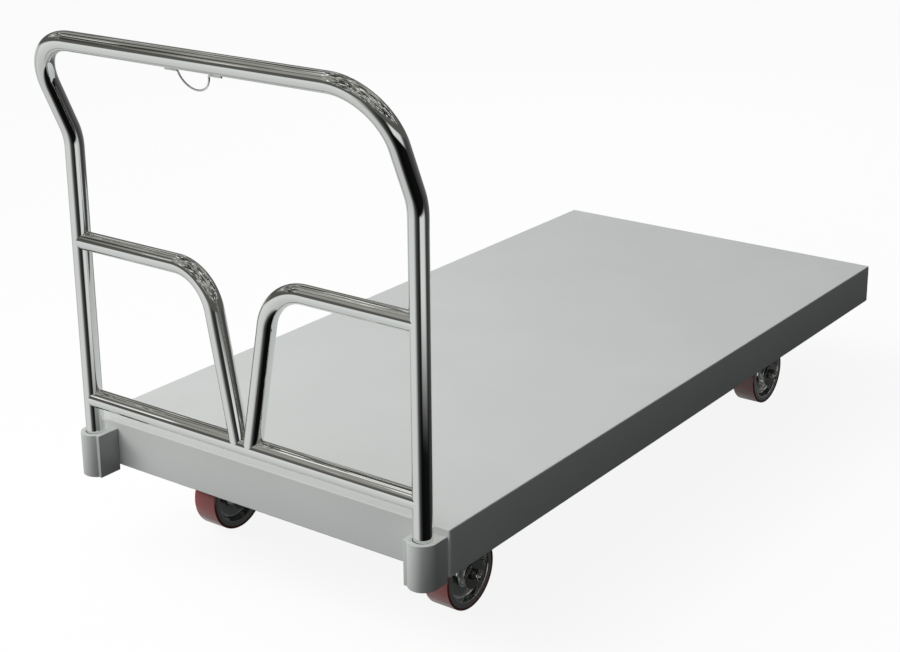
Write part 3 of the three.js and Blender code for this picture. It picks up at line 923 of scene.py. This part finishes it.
def axle_nut():
    """A lock nut: a hexagon with a round collar that holds a nylon ring."""
    low = FORK_OUTER + GAP
    shoulder = low + 0.82 * AXLE_NUT
    body = hex_solid("body", AXLE_FLATS, low, shoulder, AXLE_RADIUS, axis="X", both=True)
    collar_radius = 0.47 * AXLE_FLATS
    outline = rounded([
        (AXLE_RADIUS, shoulder - 0.5, 0),
        (collar_radius, shoulder - 0.5, 0),
        (collar_radius, low + AXLE_NUT, 1.6),
        (AXLE_RADIUS, low + AXLE_NUT, 0),
    ])
    combine(body, "UNION", turned("collar", outline, "X", 72))
    return move(shade(body, LOOKS["zinc"], 20), AXLE)


def mirrored(half):
    """A closed profile from its half at positive distances along the axis, from the bore outwards."""
    return [(r, -w, c) for r, w, c in half] + [(r, w, c) for r, w, c in reversed(half)]


def wheel_core():
    """Hub, web and rim, with filleted inside corners."""
    half = [
        (BEARING_RADIUS + GAP, HUB_HALF, 0.6),
        (HUB_RADIUS - 1.5, HUB_HALF, 1.2),
        (HUB_RADIUS + 1.5, WEB_HALF, 5),
        (RIM_INNER - 5, WEB_HALF, 6),
        (RIM_INNER, RIM_HALF, 1.6),
        (CORE_RADIUS, RIM_HALF, 0.3),
    ]
    core = turned("core", rounded(mirrored(half)), "X", 128)
    return move(shade(core, LOOKS["core_metal"], 30), AXLE)


def tread():
    half = [
        (CORE_RADIUS + GAP, TREAD_HALF, 0.4),
        (WHEEL_RADIUS, TREAD_HALF, 2.2),
    ]
    ring = turned("tread", rounded(mirrored(half)), "X", 128)
    return move(shade(ring, LOOKS["red_tread"], 30), AXLE)


def hub_bearing():
    """The spanner bush in the middle, and a retaining washer at each end of the rollers."""
    bush_radius = AXLE_RADIUS + 2.4
    bush = [(AXLE_RADIUS + GAP, BEARING_HALF, 0.4), (bush_radius, BEARING_HALF, 0.4)]
    pieces = [shade(turned("bush", rounded(mirrored(bush)), "X", 64), LOOKS["bearing_steel"], 30)]
    inside = bush_radius + GAP
    outside = BEARING_RADIUS
    thickness = 3
    for low, high in ((-HUB_HALF, thickness - HUB_HALF), (HUB_HALF - thickness, HUB_HALF)):
        ring = rounded([(inside, low, 0), (outside, low, 0.5), (outside, high, 0.5), (inside, high, 0)])
        pieces.append(shade(turned("washer", ring, "X", 64), LOOKS["black_nylon"], 30))
    return move(merge("bearing", pieces), AXLE)


def grease_fitting():
    """A nipple on the outer face of the right-hand leg."""
    face = FORK_OUTER
    place = AXLE + Vector((0, 25, 18))
    profile = rounded([
        (0, face - 1, 0),
        (3.4, face - 1, 0),
        (3.4, face + 2.0, 0.6),
        (2.0, face + 2.4, 0.3),
        (1.6, face + 3.8, 0.3),
        (2.6, face + 4.8, 0.6),
        (1.4, face + 6.4, 0.6),
        (0, face + 6.4, 0),
    ], 3)
    return move(shade(turned("nipple", profile, "X", 32), LOOKS["zinc"], 35), place)


def copy_at(piece, name, place):
    made = bpy.data.objects.new(name, piece.data.copy())
    bpy.context.scene.collection.objects.link(made)
    return move(made, place)


def casters():
    """One caster is made, and then copied to each place."""
    bolt = plate_bolt()
    nuts = plate_nuts()
    fitting = grease_fitting()
    parts = {
        "top_plate": top_plate(),
        "kingpin": kingpin(),
        "fork": fork(),
        "axle_bolt": axle_bolt(),
        "axle_nut": axle_nut(),
        "wheel_core": wheel_core(),
        "tread": tread(),
        "hub_bearing": hub_bearing(),
    }
    for prefix, place in CASTERS.items():
        for part, piece in parts.items():
            node = f"{prefix}_{part}"
            stand_for(copy_at(piece, f"fine_{node}", place), node)
        for number in range(1, 5):
            node = f"{prefix}_plate_bolt_{number}"
            spot = Vector((middle(node).x, middle(node).y, place.z))
            stand_for(copy_at(bolt, f"fine_{node}", spot), node)
        add_to(copy_at(nuts, f"{prefix}_plate_nuts", place), "deck")
        add_to(copy_at(fitting, f"{prefix}_grease_fitting", place), f"{prefix}_swivel")
    for piece in (bolt, nuts, fitting, *parts.values()):
        bpy.data.objects.remove(piece)


# ---- Studio ----

# What a mirror sees below the horizon, by compass angle from +X towards +Y, as (degrees, brightness). The
# pale wall is behind and to the left of a person at the handle.
PALE_WALL = ((-180, 0.38), (-174, 0.62), (-168, 0.72), (-108, 0.72), (-94, 0.42), (-82, 0.09), (-70, 0.045))
FAR_WALL = ((150, 0.60), (172, 0.66), (180, 0.38))
NEAR_GROUND = (
    *PALE_WALL,
    (-56, 0.004), (-30, 0.004), (0, 0.006), (25, 0.006), (45, 0.04), (75, 0.05), (110, 0.14),
    *FAR_WALL,
)
UNDER_HORIZON = (
    *PALE_WALL,
    (-50, 0.010), (-41, 0.10), (-35, 0.76), (4, 0.72), (14, 0.45), (22, 0.09), (38, 0.035), (56, 0.07),
    (75, 0.10), (110, 0.20),
    *FAR_WALL,
)


# Where the studio changes with height, from one end of each change to the other, as the sine of the angle
# above the horizon.
GROUND_TO_HORIZON = (-0.42, -0.33)
HORIZON_TO_WALL = (-0.10, 0.02)
WALL_TO_CEILING = (0.22, 0.36)


def compass_ramp(tree, compass, stops):
    """The brightness for a compass angle that was mapped to 0 at -180 degrees and 1 at 180."""
    node = tree.add("ValToRGB", {"Fac": compass})
    ramp = node.color_ramp
    for number, (degrees, level) in enumerate(stops):
        position = (degrees + 180) / 360
        stop = ramp.elements[number] if number < 2 else ramp.elements.new(position)
        stop.position = position
        stop.color = grey(level, (0.98, 1.0, 0.98))
    return node.outputs[0]


def studio(tree, direction):
    """The studio in a mirror: pale ground on one side and dark on the other, under a mottled ceiling."""
    parts = tree.add("SeparateXYZ", {0: direction})
    turn = tree.math("ARCTAN2", parts.outputs["Y"], parts.outputs["X"])
    compass = tree.spread(turn, -math.pi, math.pi)
    height = parts.outputs["Z"]
    ground = compass_ramp(tree, compass, NEAR_GROUND)
    horizon = compass_ramp(tree, compass, UNDER_HORIZON)
    rise = tree.spread(height, *GROUND_TO_HORIZON, smooth=True)
    fall = tree.spread(height, -0.95, -0.15, 0.80, 1.06)
    below = tree.mix(1.0, tree.mix(rise, ground, horizon), tree.neutral(fall), "MULTIPLY")
    blotches = tree.add("TexNoise", {"Vector": direction, "Scale": 3.0, "Detail": 2.5}).outputs[0]
    patches = tree.add("TexNoise", {"Vector": direction, "Scale": 9.0, "Detail": 4.0}).outputs[0]
    dim = grey(0.02, (1.0, 0.98, 0.92))
    warm = grey(0.32, (1.0, 0.98, 0.90))
    above = tree.mix(tree.spread(blotches, 0.38, 0.60, smooth=True), dim, warm)
    above = tree.mix(tree.spread(patches, 0.58, 0.63, smooth=True), above, grey(1.0, (1.0, 1.0, 0.98)))
    wall = grey(0.10, (1.0, 0.98, 0.92))
    above = tree.mix(tree.spread(height, *WALL_TO_CEILING, smooth=True), wall, above)
    return tree.mix(tree.spread(height, *HORIZON_TO_WALL, smooth=True), below, above)


SKY_TOWARDS = Vector((-0.42, -0.45, 0.79)).normalized()
SKY_AMBIENT = 0.05
SKY_KEY = 1.05
COOL = grey(1.0, (0.96, 1.0, 1.03))
WARM = (1.0, 0.99, 0.945)
WHITE = grey(0.97)


def sky(tree, direction):
    """What lights the object: soft light from above, behind and to the left of a person at the handle."""
    facing = tree.add("VectorMath", {0: direction, 1: SKY_TOWARDS}, operation="DOT_PRODUCT").outputs["Value"]
    facing = tree.spread(facing, 0.0, 1.0)
    lobe = tree.math("MULTIPLY", tree.math("MULTIPLY", facing, facing), SKY_KEY)
    return tree.mix(1.0, COOL, tree.neutral(tree.math("ADD", lobe, SKY_AMBIENT)), "MULTIPLY")


def world():
    made = bpy.data.worlds.new("studio")
    made.use_nodes = True
    bpy.context.scene.world = made
    tree = Tree(made.node_tree)
    direction = tree.add("TexCoord").outputs["Generated"]
    ray = tree.add("LightPath").outputs
    seen = tree.mix(ray["Is Glossy Ray"], sky(tree, direction), studio(tree, direction))
    seen = tree.mix(ray["Is Camera Ray"], seen, WHITE)
    background = tree.add("Background", {"Color": seen})
    tree.add("OutputWorld", {"Surface": background.outputs[0]})


def floor():
    """A pale floor that shows a soft shadow and gives back little light."""
    reach = 60000
    bounce_level = 0.08
    corners = ((-1, -1), (1, -1), (1, 1), (-1, 1))
    points = [Vector((x * reach, y * reach, FLOOR_Z)) for x, y in corners]
    plane = solid("floor", points, [(0, 1, 2, 3)])
    material = bpy.data.materials.new("floor")
    material.use_nodes = True
    tree = Tree(material.node_tree)
    ray = tree.add("LightPath").outputs
    incoming = tree.add("NewGeometry").outputs["Incoming"]
    direction = tree.add("VectorMath", {0: incoming, "Scale": -1.0}, operation="SCALE").outputs[0]
    mirrored_studio = tree.add("Emission", {"Color": studio(tree, direction)}).outputs[0]
    bounce = tree.add("BsdfDiffuse", {"Color": grey(bounce_level)}).outputs[0]
    glow = tree.add("Emission", {"Color": grey(0.90)}).outputs[0]
    pale = tree.add("AddShader", {0: glow, 1: bounce}).outputs[0]
    unseen = tree.add("MixShader", {0: ray["Is Glossy Ray"], 1: bounce, 2: mirrored_studio}).outputs[0]
    seen = tree.add("MixShader", {0: ray["Is Camera Ray"], 1: unseen, 2: pale}).outputs[0]
    tree.add("OutputMaterial", {"Surface": seen})
    plane.data.materials.append(material)


def area_light(name, place, target, size, watts):
    data = bpy.data.lights.new(name, "AREA")
    data.size = size
    data.energy = watts
    data.color = WARM
    light = bpy.data.objects.new(name, data)
    light.location = place
    light.rotation_euler = (Vector(target) - Vector(place)).to_track_quat("-Z", "Y").to_euler()
    light.visible_glossy = False
    light.visible_camera = False
    bpy.context.scene.collection.objects.link(light)


def sun(name, towards, strength, angle):
    data = bpy.data.lights.new(name, "SUN")
    data.energy = strength
    data.color = WARM
    data.angle = angle * DEGREES
    light = bpy.data.objects.new(name, data)
    light.rotation_euler = Vector(towards).to_track_quat("Z", "Y").to_euler()
    light.visible_glossy = False
    bpy.context.scene.collection.objects.link(light)


def lights():
    sun("side_key", (-0.70, -0.40, 0.60), 1.6, 30)
    area_light("key", (-0.9, -2.0, 2.1), (0, -0.5, 0), 2.0, 40)
    area_light("far_side_fill", (-1.4, 2.6, 1.8), (0, 0.3, 0), 2.0, 14)


CAMERA_PLACE = (1.7789, -2.6308, 1.1804)
CAMERA_TILT = 72.7954 * DEGREES
CAMERA_TURN = 34.9188 * DEGREES
FOCAL_LENGTH = 69.38
LENS_SHIFT = {"shift_x": -0.0584, "shift_y": -0.1010}


def camera():
    """A view down on the handle end from its right, with a lens shift that only this viewpoint needs."""
    data = bpy.data.cameras.new("camera")
    data.sensor_width = 36
    data.lens = FOCAL_LENGTH
    viewer = bpy.data.objects.new("camera", data)
    viewer.location = CAMERA_PLACE
    viewer.rotation_euler = (CAMERA_TILT, 0, CAMERA_TURN)
    bpy.context.scene.collection.objects.link(viewer)
    bpy.context.scene.camera = viewer
    for channel, amount in LENS_SHIFT.items():
        driver = data.driver_add(channel).driver
        place = driver.variables.new()
        place.name = "x"
        place.type = "TRANSFORMS"
        place.targets[0].id = viewer
        place.targets[0].transform_type = "LOC_X"
        driver.expression = f"{amount} * (abs(x - {CAMERA_PLACE[0]}) < 0.001)"


# ---- Assembly ----

deck_pan()
channels()
for name, side in (("left", -1), ("right", 1)):
    handle_socket(name, side)
    brace(name, side)
main_tube()
lower_rail()
wire_hook()
casters()
world()
floor()
lights()
camera()
bpy.context.scene.view_settings.view_transform = "Standard"
